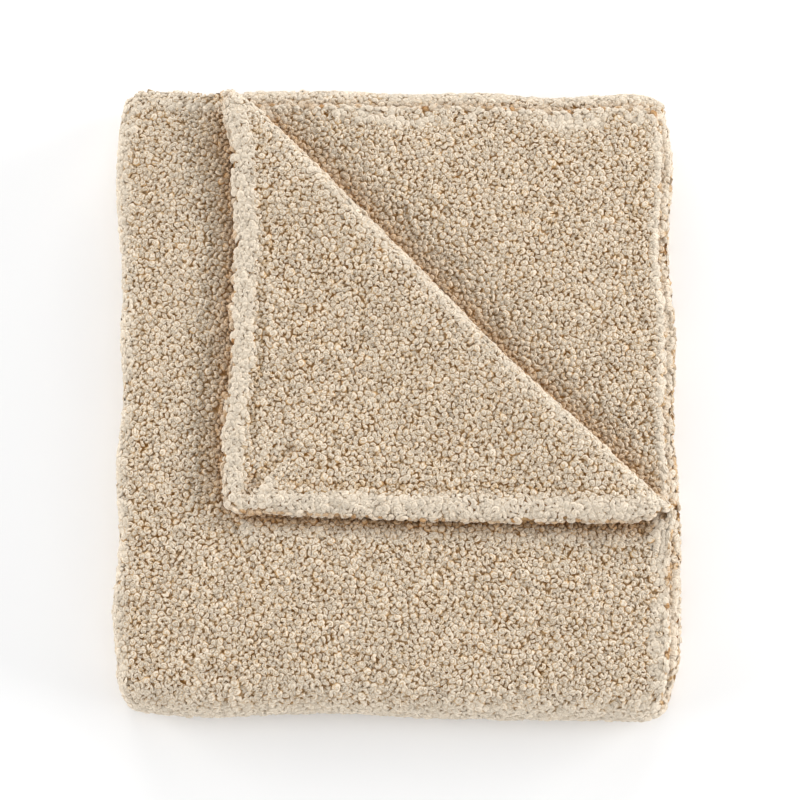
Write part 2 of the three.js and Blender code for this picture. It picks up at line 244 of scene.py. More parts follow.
def moves_of(dents, points, level):
    """How far these dents move each point, in plan."""
    moves = np.zeros((len(points), 2))
    for pixel, reach, move in dents.values():
        away = points[:, :2] - on_level(pixel, level)
        share = 1 - eased(np.hypot(away[:, 0], away[:, 1]), 0, reach * MM)
        moves += share[:, None] * (np.array(move) * MM)
    return moves


def dented(points):
    """The points in plan once the folded edges have given way."""
    on_flap = eased(points[:, 2], *FLAP_FROM)[:, None]
    plan = points[:, :2] + moves_of(DENTS, points, MIDDLE_LEVEL)
    return plan + on_flap * moves_of(FLAP_DENTS, points, FLAP_LEVEL)


# What counts as showing: rays that leave the cloth without meeting it again

RAY_RINGS = ((0, 1, 0), (38, 5, 0), (66, 7, 0.5))  # degrees from the normal, rays, and the first ray's turn
RAY_REACH = 60 * MM
RAY_START = 0.4 * MM


def ray_directions():
    """Directions round +Z, in the rings above."""
    directions = []
    for tilt, count, first in RAY_RINGS:
        polar = math.radians(tilt)
        for k in range(count):
            turn = 2 * math.pi * (k + first) / count
            out = math.sin(polar)
            directions.append(Vector((out * math.cos(turn), out * math.sin(turn), math.cos(polar))))
    return directions


DIRECTIONS = ray_directions()


def open_rays(tree, place, normal):
    """How many rays from just above this place of the cloth leave it freely."""
    turn = normal.to_track_quat("Z", "Y")
    start = place + normal * RAY_START
    return sum(tree.ray_cast(start, turn @ d, RAY_REACH)[0] is None for d in DIRECTIONS)


# The cloth under the pile

WELD = 0.01 * MM
SKIN = 5 * WELD  # under the surface, where soundings through the cloth start
JOIN_ANGLE = 1.2  # radians, up to which two triangles of the solid become one quad
PILE = 1.9 * MM  # how far the cloth lies inside the solid's faces
PILE_SHARE = 0.42  # of the solid's thickness, at most, on each face
PILE_SOUNDING = 8 * PILE
HEM_DEPTH = 8 * MM  # a place with more cloth than this behind it is on a hem's edge
ON_HEM = 0.9  # least mark of a point on a hem
FINEST_CELL = 9 * MM  # longest edge where the cloth shows
UNDERSIDE_CELL = 18 * MM
UNDERSIDE_BELOW = 5 * MM
SHOWN_ENDS = 0.9  # least sum of the marks at the two ends of an edge that shows
REFINING_ROUNDS = 6


def longest_cells(places, shown):
    """The longest edge that the cloth may have at each of these places."""
    places = np.array(places)
    plan = places[:, :2]
    longest = np.where(places[:, 2] < UNDERSIDE_BELOW, UNDERSIDE_CELL, FINEST_CELL)
    longest[~shown] = np.inf
    for trough in TROUGHS.values():
        distance, side = distances(plan, plan_line(trough))
        near = distance < np.where(side > 0, trough["left"], trough["right"]) + TROUGH_CELL
        near &= places[:, 2] > SINKS_ABOVE
        longest[near] = np.minimum(longest[near], TROUGH_CELL)
    for crease in CREASES.values():
        near = shown & (distances(plan, plan_line(crease))[0] < CREASE_REACH)
        longest[near] = np.minimum(longest[near], CREASE_CELL)
    return longest


def smooth_cloth(node):
    """The solid's mesh as smooth quads, with room for a few marks at each point."""
    quads = bmesh.new()
    quads.from_mesh(node.data)
    bmesh.ops.remove_doubles(quads, verts=quads.verts, dist=WELD)
    bmesh.ops.join_triangles(
        quads, faces=quads.faces, angle_face_threshold=JOIN_ANGLE, angle_shape_threshold=JOIN_ANGLE
    )
    coarse = bpy.data.meshes.new("coarse_cloth")
    quads.to_mesh(coarse)
    quads.free()
    rough = bpy.data.objects.new("coarse_cloth", coarse)
    bpy.context.scene.collection.objects.link(rough)
    rough.modifiers.new("smooth", "SUBSURF").levels = 1
    depsgraph = bpy.context.evaluated_depsgraph_get()
    smooth = bpy.data.meshes.new_from_object(rough.evaluated_get(depsgraph))
    cloth = bmesh.new()
    cloth.from_mesh(smooth)
    bpy.data.objects.remove(rough)
    bpy.data.meshes.remove(coarse)
    bpy.data.meshes.remove(smooth)
    cloth.verts.layers.float.new("hem")
    cloth.verts.layers.float.new("shown")
    cloth.verts.layers.float_vector.new("out")
    return cloth


def mark_hems(cloth):
    """Marks the points halfway through the cloth on its hems, and keeps the way out of the cloth."""
    cloth.normal_update()
    tree = BVHTree.FromBMesh(cloth)
    hem = cloth.verts.layers.float["hem"]
    out = cloth.verts.layers.float_vector["out"]
    for vert in cloth.verts:
        behind = tree.ray_cast(vert.co - vert.normal * SKIN, -vert.normal, HEM_DEPTH)[0]
        vert[hem] = float(behind is None)
        vert[out] = vert.normal


def move_in(cloth):
    """Moves the cloth's faces in by the pile's depth, or by less where it is thin."""
    cloth.normal_update()
    tree = BVHTree.FromBMesh(cloth)
    moves = []
    for vert in cloth.verts:
        depth = tree.ray_cast(vert.co - vert.normal * SKIN, -vert.normal, PILE_SOUNDING)[3]
        limit = PILE if depth is None else min(PILE, PILE_SHARE * depth)
        moves.append(-vert.normal * limit)
    for vert, move in zip(cloth.verts, moves):
        vert.co += move


def mark_shown(cloth):
    """Gives each point of the cloth a mark: 1 where it shows, 0 where it is hidden."""
    cloth.normal_update()
    tree = BVHTree.FromBMesh(cloth)
    shown = cloth.verts.layers.float["shown"]
    hem = cloth.verts.layers.float["hem"]
    out = cloth.verts.layers.float_vector["out"]
    for vert in cloth.verts:
        normal = vert[out] if vert[hem] > ON_HEM else vert.normal
        vert[shown] = float(open_rays(tree, vert.co, normal) > 0)


def refine_where_it_shows(cloth):
    """Halves the long edges of the cloth's faces that show."""
    mark_shown(cloth)
    shown = cloth.verts.layers.float["shown"]
    for _ in range(REFINING_ROUNDS):
        edges = list(cloth.edges)
        middles = [(e.verts[0].co + e.verts[1].co) / 2 for e in edges]
        seen = np.array([e.verts[0][shown] + e.verts[1][shown] > SHOWN_ENDS for e in edges])
        long_edges = [e for e, most in zip(edges, longest_cells(middles, seen)) if e.calc_length() > most]
        if not long_edges:
            break
        bmesh.ops.subdivide_edges(cloth, edges=long_edges, cuts=1, use_grid_fill=True)


def cloth_mesh(node):
    """The cloth under the pile: the solid's folds moved in, then sunk, creased and dented."""
    cloth = smooth_cloth(node)
    mark_hems(cloth)
    move_in(cloth)
    refine_where_it_shows(cloth)
    points = np.array([v.co for v in cloth.verts])
    for vert, plan, z in zip(cloth.verts, dented(points), sink(points)):
        vert.co = (*plan, z)
    mark_shown(cloth)
    mesh = bpy.data.meshes.new("throw_cloth")
    cloth.to_mesh(mesh)
    cloth.free()
    mesh.polygons.foreach_set("use_smooth", [True] * len(mesh.polygons))
    mesh.update()
    return mesh


# Where the curls of the pile are

PITCH = {"top": 4.65 * MM, "side": 4.9 * MM, "under": 7.2 * MM}  # from curl to curl
UPRIGHT = 0.55  # what faces up or down more than this is on the top or underside
SAMPLES_PER_CURL = 12
EVEN_STEPS = (0.7548776662, 0.5698402910)  # spread the samples of a triangle evenly
SETTLING_ROUNDS = 3
LIFT = 2 * MM  # keeps the two faces of a thin place apart
RISE = 0.3 * MM  # how unevenly high the curls stand

# Those on the hems, in two rows
HEM_STEP = 0.5 * MM  # between the places that are tried
HEM_SPACING = 2.5 * MM  # between the curls, which face up and down by turns
HEM_TILT = math.radians(45)
HEM_UNEVEN = 0.35 * MM
HEM_SWAY = 0.14  # sideways, against the way that they face
HEM_SUNK = 0.3 * MM
HEM_CLEAR = 1.6 * MM  # no other curl has its place nearer than this
HEM_REACH = (1.9 * MM, 2.7 * MM)  # of their cells, at least and at most

# The cell of cloth that is nearest to a curl
DIRECTION_COUNT = 12  # round a curl, in which the reach of its cell is found
NEIGHBOUR_COUNT = 14
SAME_CLOTH = -0.3  # least cosine between the normals of two curls that touch
SAME_ROW = 0.5  # the same for two curls on a hem
REACH_LIMITS = (1.5 * MM, 3.1 * MM)
BEND_NEIGHBOURS = 7  # by which the cloth's bend is judged


def read(items, name, width=1, kind=float):
    """One property of all the items, as an array with a row for each."""
    values = np.empty(len(items) * width, dtype=kind)
    items.foreach_get(name, values)
    return values.reshape(-1, width) if width > 1 else values


def unit(vectors):
    """The vectors, each made one long."""
    return vectors / np.linalg.norm(vectors, axis=1)[:, None]


def tree_of(places):
    """The places as a tree, which finds those near a spot."""
    tree = KDTree(len(places))
    for k, place in enumerate(places.tolist()):
        tree.insert(place, k)
    tree.balance()
    return tree


class Surface:
    """The cloth's triangles as arrays, for placing curls on them."""

    def __init__(self, mesh):
        mesh.calc_loop_triangles()
        self.points = read(mesh.vertices, "co", 3)
        self.normals = read(mesh.vertices, "normal", 3)
        self.corners = read(mesh.loop_triangles, "vertices", 3, np.int32)
        shown = read(mesh.attributes["shown"].data, "value")
        a, b, c = (self.points[self.corners[:, k]] for k in range(3))
        self.areas = np.linalg.norm(np.cross(b - a, c - a), axis=1) / 2
        self.areas *= shown[self.corners].max(axis=1) > 0
        self.tree = BVHTree.FromPolygons(self.points.tolist(), self.corners.tolist())
        self.find_hems(mesh, shown)

    def find_hems(self, mesh, shown):
        """Places close together along the hems that show, with the way out of the cloth there."""
        hem = read(mesh.attributes["hem"].data, "value")
        out = read(mesh.attributes["out"].data, "vector", 3)
        edges = read(mesh.edges, "vertices", 2, np.int32)
        edges = edges[(hem[edges].min(axis=1) > ON_HEM) & (shown[edges].max(axis=1) > 0)]
        starts, ends = edges[:, 0], edges[:, 1]
        lengths = np.linalg.norm(self.points[starts] - self.points[ends], axis=1)
        steps = np.ceil(lengths / HEM_STEP).astype(int)
        which = np.repeat(np.arange(len(edges)), steps)
        share = (np.arange(len(which)) - (np.cumsum(steps) - steps)[which] + 0.5) / steps[which]
        share = share[:, None]
        self.hem_places = self.points[starts[which]] * (1 - share) + self.points[ends[which]] * share
        self.hem_ways = unit(out[starts[which]] * (1 - share) + out[ends[which]] * share)
        self.hem_tree = tree_of(self.hem_places)

    def samples(self, count):
        """Places spread evenly over what shows but clear of the hems, with the cloth's normal there."""
        steps = np.arange(count)
        reached = np.cumsum(self.areas)
        which = np.searchsorted(reached, (steps + 0.5) / count * reached[-1])
        u, v = (steps * EVEN_STEPS[0]) % 1, (steps * EVEN_STEPS[1]) % 1
        flip = u + v > 1
        u[flip], v[flip] = 1 - u[flip], 1 - v[flip]
        shares = np.stack([1 - u - v, u, v], axis=1)[:, :, None]
        corners = self.corners[which]
        places = (self.points[corners] * shares).sum(axis=1)
        normals = (self.normals[corners] * shares).sum(axis=1)
        clear = np.array([self.hem_tree.find(place)[2] > HEM_CLEAR for place in places.tolist()])
        places, normals = places[clear], normals[clear]
        return places, unit(normals)

    def hem_row(self, rng):
        """Places along the hems, each next to the last one, facing out and up or down by turns."""
        untaken = np.ones(len(self.hem_places), dtype=bool)
        row = []
        latest = 0
        while untaken.any():
            latest = self.hem_tree.find(self.hem_places[latest], filter=lambda k: untaken[k])[1]
            row.append(latest)
            taken = self.hem_tree.find_range(self.hem_places[latest], HEM_SPACING)
            untaken[[k for _, k, _ in taken]] = False
        places, ways = self.hem_places[row], self.hem_ways[row]
        across = unit(np.cross(ways, np.gradient(places, axis=0)))
        across *= np.where(across[:, 2] < 0, -1, 1)[:, None]
        turns = np.where(np.arange(len(row)) % 2, 1, -1)[:, None]
        facing = math.cos(HEM_TILT) * ways + math.sin(HEM_TILT) * turns * across
        facing = unit(facing + rng.normal(0, HEM_SWAY, facing.shape))
        places = places + rng.normal(0, HEM_UNEVEN, places.shape) - HEM_SUNK * ways
        return places, facing


def sides_of(places, normals):
    """Which kind of place on the throw each of these is."""
    sides = np.where(normals[:, 2] > UPRIGHT, "top", "side").astype("<U5")
    sides[(normals[:, 2] < -UPRIGHT) & (places[:, 2] < UNDERSIDE_BELOW)] = "under"
    return sides


def settle(samples, sample_normals, places, normals, fixed):
    """Moves each curl to the middle of the cloth that it is nearest to, a few times over."""
    count = len(places)
    lifted = (samples + LIFT * sample_normals).tolist()
    for _ in range(SETTLING_ROUNDS):
        tree = tree_of(places + LIFT * normals)
        owner = np.array([tree.find(spot)[1] for spot in lifted])
        share = np.maximum(np.bincount(owner, minlength=count), 1)[:, None]
        middles = np.stack([np.bincount(owner, samples[:, k], count) for k in range(3)], axis=1) / share
        away = np.linalg.norm(samples - middles[owner], axis=1)
        order = np.lexsort((away, owner))
        owned, first = np.unique(owner[order], return_index=True)
        loose = ~fixed[owned]
        nearest, moving = order[first][loose], owned[loose]
        facing = sample_normals[nearest]
        step = middles[moving] - samples[nearest]
        step -= facing * (step * facing).sum(axis=1)[:, None]
        places[moving] = samples[nearest] + step
        normals[moving] = facing
    return places, normals


def frames(normals, rng):
    """For each normal, two axes square to it, turned at random."""
    side = unit(np.cross(normals, rng.normal(0, 1, normals.shape)))
    return side, np.cross(normals, side)


def cell_reach(places, normals, side, along, fixed):
    """How far the cloth that is nearest to a curl reaches from it, in directions round its normal.

    Also how much the cloth bends away there: above 0 on a rim, below 0 in a hollow.
    """
    lifted = places + LIFT * normals
    tree = tree_of(lifted)
    near = np.array([[k for _, k, _ in tree.find_n(p, NEIGHBOUR_COUNT + 1)][1:] for p in lifted.tolist()])
    apart = places[near] - places[:, None]
    alike = (normals[near] * normals[:, None]).sum(axis=-1)
    touching = alike > np.where(fixed[:, None] & fixed[near], SAME_ROW, SAME_CLOTH)
    distance = np.linalg.norm(apart, axis=-1)
    flat = np.stack([(apart * side[:, None]).sum(axis=-1), (apart * along[:, None]).sum(axis=-1)], axis=-1)
    flat *= (distance / np.maximum(np.linalg.norm(flat, axis=-1), WELD))[:, :, None]
    angles = np.arange(DIRECTION_COUNT) / DIRECTION_COUNT * 2 * math.pi
    ahead = flat @ np.stack([np.cos(angles), np.sin(angles)])
    half_way = distance[:, :, None] ** 2 / (2 * np.maximum(ahead, WELD))
    half_way[~touching] = np.inf
    below = -(apart * normals[:, None]).sum(axis=-1) / distance
    bend = (below * touching)[:, :BEND_NEIGHBOURS].mean(axis=1)
    return np.clip(half_way.min(axis=1), *REACH_LIMITS), bend


# How the curls look there: painted light on hems, rims and sides, softer yarn on hems and rims, and painted
# shade where few rays leave freely

RIM_WITHIN = (5 * MM, 20 * MM)  # of the outline, where all and none of this holds
RIM_PAINTED_LIGHT = 3.4  # how far the flanks of the curls are raised towards cream where the cloth bends away, as painted light, and lowered in a hollow, as painted shade
RIM_LIMITS = (-0.2, 0.35)
RIM_SOFT = 0.7
RIM_OPEN = 0.2  # how near the outline a curl counts as open, and so gets little painted shade
# Painted light on the flanks of the curls on the sides
SIDE_PAINTED_LIGHT = 0.22
# Least share of open rays on the sides and near the outline, which holds back their painted shade
SIDE_OPEN = 0.8
# Where the flap's hems get painted light and softer yarn
HEM_LIGHT_ABOVE = 49.5 * MM
HEM_LIGHT_WITHIN = (12 * MM, 27 * MM)  # of the flap's free edges
HEM_PAINTED_LIGHT = 0.2
HEM_SOFT = 0.6
SOFT_GAIN = 7.0  # how much less the yarn's lines show where the cloth bends away
SHARP_BEND = 0.13  # from which a curl is a closed ball


def near_rim(places):
    """How near each place is to the throw's outline in plan: 1 at the outline, 0 well inside."""
    inside = cad_box[1][:2] - np.abs(places[:, :2])
    return 1 - eased(inside.min(axis=1), *RIM_WITHIN)


def mark_painted_rim_light(mesh):
    """Marks where the short yarn gets painted light: on the hems and near the throw's outline."""
    hem = read(mesh.attributes["hem"].data, "value")
    pale = np.maximum(hem, near_rim(read(mesh.vertices, "co", 3)))
    mesh.attributes.new("pale", "FLOAT", "POINT").data.foreach_set("value", pale)


def scatter(surface, rng):
    """The curls of the pile that show: where they are, the reach of their cells, and how they look."""
    cells = {side: math.sqrt(3) / 2 * pitch**2 for side, pitch in PITCH.items()}  # as in a honeycomb
    samples, sample_normals = surface.samples(int(surface.areas.sum() / cells["top"] * SAMPLES_PER_CURL))
    chance = 1 / np.array([cells[side] for side in sides_of(samples, sample_normals)])
    count = int((chance / len(samples)).sum() * surface.areas.sum())
    hem_places, hem_normals = surface.hem_row(rng)
    loose = count - len(hem_places)
    spread = (np.arange(loose) + rng.random(loose)) / loose
    seeds = np.searchsorted(np.cumsum(chance), spread * chance.sum())
    places = np.concatenate([hem_places, samples[seeds]])
    normals = np.concatenate([hem_normals, sample_normals[seeds]])
    fixed = np.arange(count) < len(hem_places)
    places, normals = settle(samples, sample_normals, places, normals, fixed)
    side, along = frames(normals, rng)
    reach, bend = cell_reach(places, normals, side, along, fixed)
    reach[fixed] = np.clip(reach[fixed], *HEM_REACH)
    rays = np.array([open_rays(surface.tree, Vector(p), Vector(n)) for p, n in zip(places, normals)])
    shown = rays > 0
    on_hem = 1 - eased(from_flap_edge(places[:, :2]), *HEM_LIGHT_WITHIN)
    on_hem *= places[:, 2] > HEM_LIGHT_ABOVE
    places[~fixed] += (rng.normal(0, RISE, count)[:, None] * normals)[~fixed]
    on_side = np.abs(normals[:, 2]) < UPRIGHT
    at_rim = near_rim(places)
    curls = {
        "place": places,
        "normal": normals,
        "side": side,
        "along": along,
        "reach": reach,
        # Painted light on rims, hems and sides, and painted shade in hollows, as a raise of the height on a
        # curl
        "painted_light_and_shade": np.clip(RIM_PAINTED_LIGHT * bend, *RIM_LIMITS) + HEM_PAINTED_LIGHT * on_hem + SIDE_PAINTED_LIGHT * on_side,
        "soft": np.clip(SOFT_GAIN * bend + HEM_SOFT * on_hem + RIM_SOFT * at_rim, 0, 1),
        # The share of rays that leave freely, from which the material paints shade
        "open": np.maximum(rays / len(DIRECTIONS), SIDE_OPEN * (on_side | (at_rim > RIM_OPEN))),
        "closed": fixed | (bend > SHARP_BEND) | (normals[:, 0] > UPRIGHT),
    }
    return {key: values[shown] for key, values in curls.items()}


REGIONS = ("flap", "leaf_left", "leaf_near", "second_layer", "left", "right", "near", "far", "under")
DIAGONAL_LINE = 118 * MM  # x + y along the diagonal fold
LEAF_LEFT_OF = -125 * MM  # x, up to which the leaf is its left part
LEAF_NEAR_BELOW = -95 * MM  # y, under which the leaf is its near part


def regions_of(places, normals):
    """The piece that each curl goes to."""
    x, y = places[:, 0], places[:, 1]
    sides = sides_of(places, normals)
    across = np.abs(x) * (cad_box[1][1] / cad_box[1][0]) > np.abs(y)
    edge = np.where(across, np.where(x < 0, "left", "right"), np.where(y < 0, "near", "far"))
    top = np.where(x > LEAF_LEFT_OF, "flap", "leaf_left")
    top = np.where(y < LEAF_NEAR_BELOW, "leaf_near", top)
    top = np.where(x + y > DIAGONAL_LINE, "second_layer", top)
    return np.where(sides == "under", "under", np.where(sides == "side", edge, top))


# Shapes of the curls, in units of their reach. A shape gives its points for all its curls at once, with
# the height above the cloth last, then where they are in the winding of the yarn, and its faces.

CURL = {"segments": 6, "sides": 4, "ring": 0.46, "yarn": 0.52, "arc": (290, 350)}  # degrees
COMMA = {"segments": 4, "sides": 4, "ring": 0.5, "yarn": 0.56, "arc": (180, 260)}
TUBE_OPENING = math.radians(100)  # of the yarn's section, towards the cloth
TUBE_MIDDLE = 0.5  # height of the yarn's middle
SPIRAL = 0.3  # how much the ring opens or closes along the yarn, at most
CLIMB = 0.35  # how much the yarn climbs or falls along it, at most
UNEVEN = (0.92, 1.08)
THINNER_ENDS = 0.3
LOWER_ENDS = 0.25
KNOT = {"sides": 8, "rings": ((0.66, 0.97), (1.0, 0.12)), "ends": (1.2,), "lumpy": 0.12, "wavy": 0.5}
BALL = {
    "sides": 7,
    "rings": ((0.68, 0.95), (1.0, 0.3), (0.62, -0.3)),  # radius and height
    "ends": (1.2, -0.45),
    "lumpy": 0.09,
    "wavy": 0,
}
FLAT_KNOT = {"sides": 6, "rings": ((0.72, 0.6), (1.0, 0)), "lumpy": 0.1}
SWIRL_SHIFT = 0.2  # of the middle of the winding in a knot


def tube_shape(spec, count, rng):
    """Bent lengths of yarn that lie on the cloth, thinner and lower at both ends."""
    t = np.linspace(0, 1, spec["segments"] + 1)[None, :, None]
    half = math.pi - TUBE_OPENING / 2
    section = np.linspace(-half, half, spec["sides"] + 1)[None, None, :]
    arc = rng.uniform(*np.radians(spec["arc"]), (count, 1, 1))
    spiral = rng.uniform(-SPIRAL, SPIRAL, (count, 1, 1))
    climb = rng.uniform(-CLIMB, CLIMB, (count, 1, 1))
    turn = arc * (t - 0.5)
    ring = spec["ring"] * (1 + spiral * (t - 0.5)) * rng.uniform(*UNEVEN, (count, 1, 1))
    yarn = spec["yarn"] * (1 - THINNER_ENDS * (2 * t - 1) ** 4) * rng.uniform(*UNEVEN, (count, 1, 1))
    middle = TUBE_MIDDLE + climb * (t - 0.5) - LOWER_ENDS * (2 * t - 1) ** 6
    out = ring + yarn * np.sin(section)
    up = middle + yarn * np.cos(section)
    points = np.stack(np.broadcast_arrays(out * np.cos(turn), out * np.sin(turn), up), axis=-1)
    points = points.reshape(count, -1, 3)
    swirl = points[:, :, :2].copy()
    points[:, :, 0] -= (points[:, :, 0].max(axis=1) + points[:, :, 0].min(axis=1))[:, None] / 2
    columns = spec["sides"] + 1
    faces = []
    for i in range(spec["segments"]):
        for j in range(spec["sides"]):
            a = i * columns + j
            faces.append((a, a + 1, a + columns + 1, a + columns))
    last = spec["segments"] * columns
    faces.append(tuple(reversed(range(columns))))
    faces.append(tuple(range(last, last + columns)))
    return points, swirl, faces


def ring_of_points(radius, height, lump):
    """Points round the middle of each curl, as lumpy as given."""
    sides = lump.shape[-1]
    angles = np.arange(sides) / sides * 2 * math.pi
    x = radius * lump * np.cos(angles)
    y = radius * lump * np.sin(angles)
    return np.stack([x, y, np.broadcast_to(height, x.shape)], axis=-1)


def knot_shape(spec, count, rng):
    """Lumpy domes of yarn that is wound up tight, or balls where there is an end below too."""
    sides = spec["sides"]
    lump = rng.normal(1, spec["lumpy"], (count, len(spec["rings"]), sides))
    rings = [
        ring_of_points(radius, height * (1 + spec["wavy"] * (lump[:, k] - 1)), lump[:, k])
        for k, (radius, height) in enumerate(spec["rings"])
    ]
    top, *bottom = (np.broadcast_to((0, 0, end), (count, 1, 3)) for end in spec["ends"])
    points = np.concatenate([top, *rings, *bottom], axis=1)
    swirl = points[:, :, :2] + rng.normal(0, SWIRL_SHIFT, (count, 1, 2))
    last = points.shape[1] - 1
    faces = []
    for j in range(sides):
        following = (j + 1) % sides
        faces.append((0, 1 + j, 1 + following))
        for k in range(len(rings) - 1):
            a = 1 + k * sides
            b = a + sides
            faces.append((a + j, b + j, b + following, a + following))
        if bottom:
            faces.append((last, last - sides + following, last - sides + j))
    return points, swirl, faces


def flat_knot_shape(count, rng):
    """Low pressed knots for the underside, which the throw lies on."""
    sides = FLAT_KNOT["sides"]
    lump = rng.normal(1, FLAT_KNOT["lumpy"], (count, sides))
    rings = [ring_of_points(radius, height, lump) for radius, height in FLAT_KNOT["rings"]]
    points = np.concatenate(rings, axis=1)
    faces = [tuple(range(sides))]
    for j in range(sides):
        following = (j + 1) % sides
        faces.append((j, sides + j, sides + following, following))
    return points, points[:, :, :2].copy(), faces


SHAPES = {
    "curl": lambda count, rng: tube_shape(CURL, count, rng),
    "comma": lambda count, rng: tube_shape(COMMA, count, rng),
    "knot": lambda count, rng: knot_shape(KNOT, count, rng),
    "ball": lambda count, rng: knot_shape(BALL, count, rng),
    "flat": flat_knot_shape,
}
MIX = {"curl": 0.4, "comma": 0.16, "knot": 0.44}


# The map that is baked: a cell of the unit square for each curl, and for each face of the cloth

BAKE_MAP = "OFBake"
CELL_MARGIN = 0.06


def tube_map(spec):
    """The points of a tube in the unit square: along it and round its section."""
    columns, rows = spec["sides"] + 1, spec["segments"] + 1
    return np.array([(i / (rows - 1), j / (columns - 1)) for i in range(rows) for j in range(columns)])


def dome_map(sides, radii, ends):
    """The points of a dome in the unit square, from its middle out, with the ends that it has."""
    angles = np.arange(sides) / sides * 2 * math.pi
    rings = [0.5 + 0.5 * r * np.stack([np.cos(angles), np.sin(angles)], axis=-1) for r in radii]
    return np.concatenate([[(0.5, 0.5)]] * (ends > 0) + rings + [[(1, 0.5)]] * (ends > 1))


MAPS = {
    "curl": tube_map(CURL),
    "comma": tube_map(COMMA),
    "knot": dome_map(KNOT["sides"], (0.5, 1), 1),
    "ball": dome_map(BALL["sides"], (0.35, 0.7, 1), 2),
    "flat": dome_map(FLAT_KNOT["sides"], (0.7, 1), 0),
}


def in_cells(cells, cell_count, flat):
    """Places in the unit square, each moved into its own cell of a square grid of cells."""
    columns = math.ceil(math.sqrt(cell_count))
    corner = np.stack([cells % columns, cells // columns], axis=-1)
    return (corner + CELL_MARGIN + (1 - 2 * CELL_MARGIN) * flat) / columns


def map_faces(mesh):
    """Gives each face of the cloth its own cell of the map that is baked."""
    totals = read(mesh.polygons, "loop_total", kind=np.int32)
    cells = np.repeat(np.arange(len(totals)), totals)
    starts = np.repeat(np.cumsum(totals) - totals, totals)
    angle = 2 * math.pi * (np.arange(len(cells)) - starts) / np.repeat(totals, totals) + math.pi / 4
    flat = 0.5 + 0.5 * np.stack([np.cos(angle), np.sin(angle)], axis=-1)
    places = in_cells(cells, len(totals), flat)
    mesh.uv_layers.new(name=BAKE_MAP).data.foreach_set("uv", places.reshape(-1))


# The pile's meshes

OVERLAP = 1.29  # of a curl's outline, against the reach of its cell
LEAN = 0.22  # sideways, against upwards, on the average
SUNK = 0.15  # of the reach, how deep a curl's root is in the cloth
HEIGHT = (0.74, 1.12)  # of a curl's height, against its reach
SOFT_WIDER = 0.22  # how much wider the curls are where the yarn is soft
SOFT_LOWER = 0.25
BALL_WAIST = 0.5  # how tan a ball is round its middle, as painted shade, given as a height on the other shapes
BALL_PALER = 0.6  # above and under that


def fitted(shape, reach, side, along, up, height):
    """The shape's points from the curl's place, with its outline fitted to the curl's cell."""
    turn = np.arctan2(shape[:, :, 1], shape[:, :, 0]) / (2 * math.pi) * DIRECTION_COUNT
    before = np.floor(turn).astype(int)
    share = turn - before
    out = np.take_along_axis(reach, before % DIRECTION_COUNT, axis=1) * (1 - share)
    out += np.take_along_axis(reach, (before + 1) % DIRECTION_COUNT, axis=1) * share
    out = (out * OVERLAP)[:, :, None]
    tall = (np.sqrt(reach.mean(axis=1) * reach.mean()) * height)[:, None, None]
    return (
        out * shape[:, :, :1] * side[:, None]
        + out * shape[:, :, 1:2] * along[:, None]
        + tall * (shape[:, :, 2:] - SUNK) * up[:, None]
    )


def curls_of(kind, curls, rng):
    """The points and faces of the curls of one kind, and what their material reads at each point."""
    count = len(curls["place"])
    shape, swirl, faces = SHAPES[kind](count, rng)
    sideways = rng.normal(0, LEAN, (2, count, 1)) * (kind != "flat")
    up = curls["normal"] + sideways[0] * curls["side"] + sideways[1] * curls["along"]
    height = rng.uniform(*HEIGHT, count) * (1 - SOFT_LOWER * curls["soft"])
    reach = curls["reach"] * (1 + SOFT_WIDER * curls["soft"])[:, None]
    points = curls["place"][:, None] + fitted(shape, reach, curls["side"], curls["along"], up, height)
    points[:, :, 2] = np.maximum(points[:, :, 2], 0)
    above = shape[:, :, 2]
    if kind == "ball":
        above = BALL_WAIST + BALL_PALER * np.abs(above - BALL["rings"][1][1])
    # The height on a curl picks its colour: painted shade low down, raised by painted light on rims, hems
    # and sides
    marks = {
        "height": above + curls["painted_light_and_shade"][:, None],
        "open": curls["open"][:, None],
        "soft": curls["soft"][:, None],
        "tone": rng.random((count, 1)),
    }
    marks = {key: np.broadcast_to(values, above.shape).reshape(-1) for key, values in marks.items()}
    phase = np.broadcast_to(rng.random((count, 1, 1)), (*above.shape, 1))
    marks["swirl"] = np.concatenate([swirl, phase], axis=-1).reshape(-1, 3)
    return points, faces, marks


def joined_mesh(name, parts, material):
    """One mesh of all the parts, with their marks."""
    whole = {key: np.concatenate([part[key] for part in parts]) for key in parts[0]}
    loops, sizes = whole["loops"], whole["sizes"]
    mesh = bpy.data.meshes.new(name)
    mesh.vertices.add(len(whole["points"]))
    mesh.vertices.foreach_set("co", whole["points"].reshape(-1))
    mesh.loops.add(len(loops))
    mesh.loops.foreach_set("vertex_index", loops)
    mesh.polygons.add(len(sizes))
    mesh.polygons.foreach_set("loop_start", np.cumsum(sizes) - sizes)
    mesh.polygons.foreach_set("loop_total", sizes)
    mesh.polygons.foreach_set("use_smooth", np.ones(len(sizes), dtype=bool))
    for key in ("tone", "height", "open", "soft"):
        mesh.attributes.new(key, "FLOAT", "POINT").data.foreach_set("value", whole[key])
    swirl = mesh.attributes.new("swirl", "FLOAT_VECTOR", "POINT")
    swirl.data.foreach_set("vector", whole["swirl"].reshape(-1))
    mesh.uv_layers.new(name=BAKE_MAP).data.foreach_set("uv", whole["map"][loops].reshape(-1))
    mesh.materials.append(material)
    mesh.update()
    mesh.validate()
    return mesh


